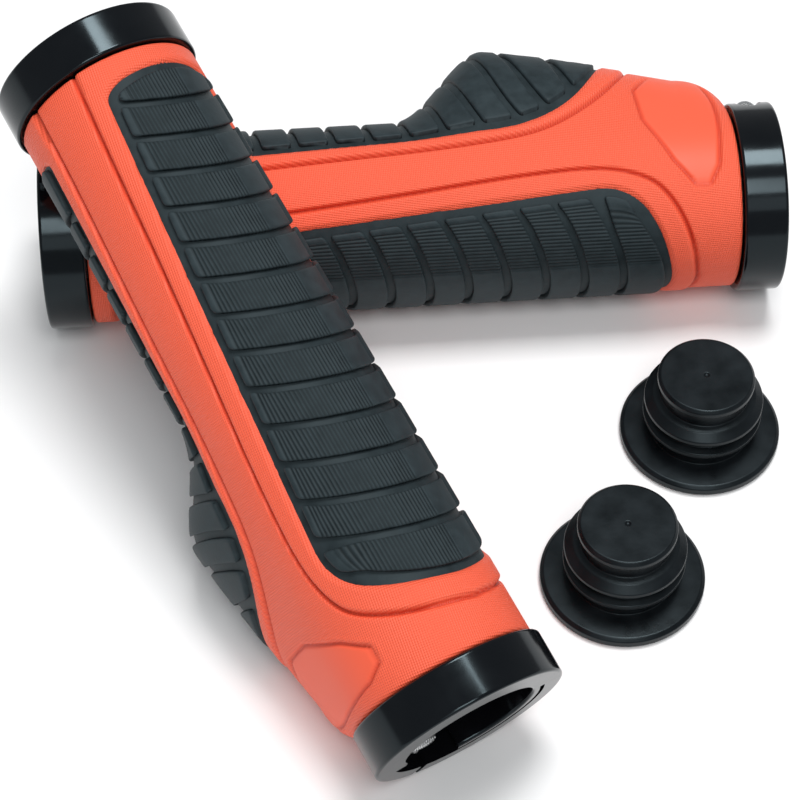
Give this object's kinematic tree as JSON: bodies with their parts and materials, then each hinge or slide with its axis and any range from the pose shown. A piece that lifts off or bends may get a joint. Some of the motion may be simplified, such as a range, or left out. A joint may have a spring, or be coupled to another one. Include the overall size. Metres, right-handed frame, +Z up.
{
  "type": "bar end grips",
  "caption": "Ergonomic lock-on bicycle handlebar grips with palm wings, ribbed pads, split clamp rings with pinch bolts, and push-in bar end plugs.",
  "frame": {"origin": "centre of the rear grip's bore, halfway along it", "axes": "+X along the rear grip's bore, towards its winged end; +Z up from the table; +Y to the back"},
  "size_m": [0.1323, 0.1425, 0.0686],
  "materials": {
    "sleeve": "moulded, satin",
    "body": "soft rubber, finely hatched",
    "pad": "soft rubber, finely ribbed",
    "ring": "black anodised, polished",
    "bolt": "zinc plated",
    "plug": "moulded, satin"
  },
  "bodies": {
    "rear_grip": {"rear_sleeve": "sleeve", "rear_body": "body", "rear_ribbed_pad": "pad", "rear_wing_pad": "pad"},
    "rear_outer_ring": {"rear_outer_ring": "ring"},
    "rear_outer_bolt": {"rear_outer_bolt": "bolt"},
    "rear_inner_ring": {"rear_inner_ring": "ring"},
    "rear_inner_bolt": {"rear_inner_bolt": "bolt"},
    "front_grip": {"front_sleeve": "sleeve", "front_body": "body", "front_ribbed_pad": "pad", "front_wing_pad": "pad"},
    "front_outer_ring": {"front_outer_ring": "ring"},
    "front_outer_bolt": {"front_outer_bolt": "bolt"},
    "front_inner_ring": {"front_inner_ring": "ring"},
    "front_inner_bolt": {"front_inner_bolt": "bolt"},
    "plug_a": {"plug_a": "plug"},
    "plug_b": {"plug_b": "plug"}
  },
  "joints": [
    {"name": "rear_outer_ring_slide", "type": "slide", "parent": "rear_grip", "child": "rear_outer_ring", "axis": [1, 0, 0], "range_m": [0, 0.012]},
    {"name": "rear_outer_bolt_turn", "type": "hinge", "parent": "rear_outer_ring", "child": "rear_outer_bolt", "pos_m": [0.06025, 0.01354, 0.00313], "axis": [0, -0.225, 0.9744], "continuous": true},
    {"name": "rear_inner_ring_slide", "type": "slide", "parent": "rear_grip", "child": "rear_inner_ring", "axis": [-1, 0, 0], "range_m": [0, 0.012]},
    {"name": "rear_inner_bolt_turn", "type": "hinge", "parent": "rear_inner_ring", "child": "rear_inner_bolt", "pos_m": [-0.06025, 0.01354, 0.00313], "axis": [0, -0.225, 0.9744], "continuous": true},
    {"name": "front_outer_ring_slide", "type": "slide", "parent": "front_grip", "child": "front_outer_ring", "axis": [0.4276, -0.8576, -0.2857], "range_m": [0, 0.012]},
    {"name": "front_outer_bolt_turn", "type": "hinge", "parent": "front_outer_ring", "child": "front_outer_bolt", "pos_m": [-0.00766, -0.10072, -0.01149], "axis": [-0.7395, -0.5136, 0.4351], "continuous": true},
    {"name": "front_inner_ring_slide", "type": "slide", "parent": "front_grip", "child": "front_inner_ring", "axis": [-0.4276, 0.8576, 0.2857], "range_m": [0, 0.012]},
    {"name": "front_inner_bolt_turn", "type": "hinge", "parent": "front_inner_ring", "child": "front_inner_bolt", "pos_m": [-0.05919, 0.00262, 0.02294], "axis": [-0.7395, -0.5136, 0.4351], "continuous": true},
    {"name": "front_grip_lift", "type": "slide", "parent": "rear_grip", "child": "front_grip", "axis": [0, 0, 1], "range_m": [0, 0.06]},
    {"name": "plug_a_lift", "type": "slide", "parent": "rear_grip", "child": "plug_a", "axis": [0, 0, 1], "range_m": [0, 0.04]},
    {"name": "plug_b_lift", "type": "slide", "parent": "rear_grip", "child": "plug_b", "axis": [0, 0, 1], "range_m": [0, 0.04]}
  ]
}
